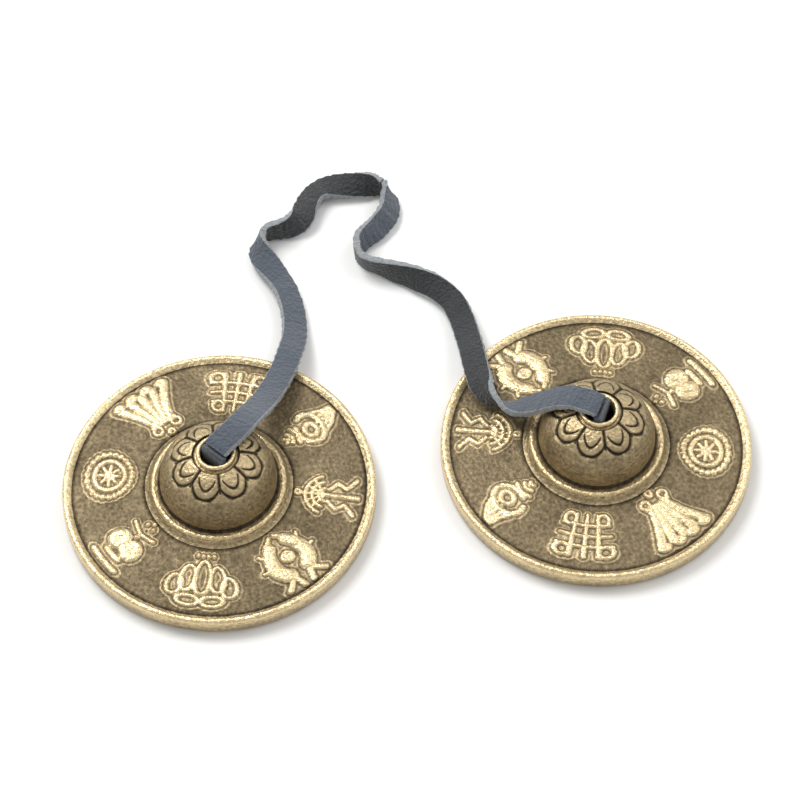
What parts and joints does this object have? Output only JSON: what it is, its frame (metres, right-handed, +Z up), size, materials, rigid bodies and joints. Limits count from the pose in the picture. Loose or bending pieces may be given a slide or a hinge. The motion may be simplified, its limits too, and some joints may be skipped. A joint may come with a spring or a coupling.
{
  "type": "tingsha",
  "caption": "Pair of thick cast bronze cymbals with domed centres, joined by a flat leather strap knotted inside each dome.",
  "frame": {"origin": "on the table plane, midway between the two cymbals' centres", "axes": "+X through both centres from left to right, +Z up along the cymbals' axes"},
  "size_m": [0.144, 0.1102, 0.0191],
  "materials": {
    "cymbal_left": "sand-cast bronze, worn bright on the relief",
    "cymbal_right": "sand-cast bronze, worn bright on the relief",
    "strap_left": "blue-grey suede one side, black grain the other",
    "strap_right": "blue-grey suede one side, black grain the other",
    "knot_left": "blue-grey suede one side, black grain the other",
    "knot_right": "blue-grey suede one side, black grain the other"
  },
  "bodies": {
    "left_strap": {"strap_left": "strap_left"},
    "right_strap": {"strap_right": "strap_right"},
    "left_knot": {"knot_left": "knot_left"},
    "right_knot": {"knot_right": "knot_right"},
    "left_cymbal": {"cymbal_left": "cymbal_left"},
    "right_cymbal": {"cymbal_right": "cymbal_right"}
  },
  "joints": [
    {"name": "strap_fold", "type": "hinge", "parent": "left_strap", "child": "right_strap", "pos_m": [0.00433, 0.07313, 0.003], "axis": [0, 0, 1], "range_deg": [-10, 110]},
    {"name": "left_swing", "type": "hinge", "parent": "left_strap", "child": "left_knot", "pos_m": [-0.03999, -0.00042, 0.01843], "axis": [-0.6691, 0.7431, 0], "range_deg": [0, 90]},
    {"name": "left_spin", "type": "hinge", "parent": "left_knot", "child": "left_cymbal", "pos_m": [-0.03952, 0, 0.01], "axis": [0, 0, 1], "continuous": true},
    {"name": "right_swing", "type": "hinge", "parent": "right_strap", "child": "right_knot", "pos_m": [0.04007, -0.00032, 0.01843], "axis": [-0.5, -0.866, 0], "range_deg": [0, 90]},
    {"name": "right_spin", "type": "hinge", "parent": "right_knot", "child": "right_cymbal", "pos_m": [0.03952, 0, 0.01], "axis": [0, 0, 1], "continuous": true}
  ]
}
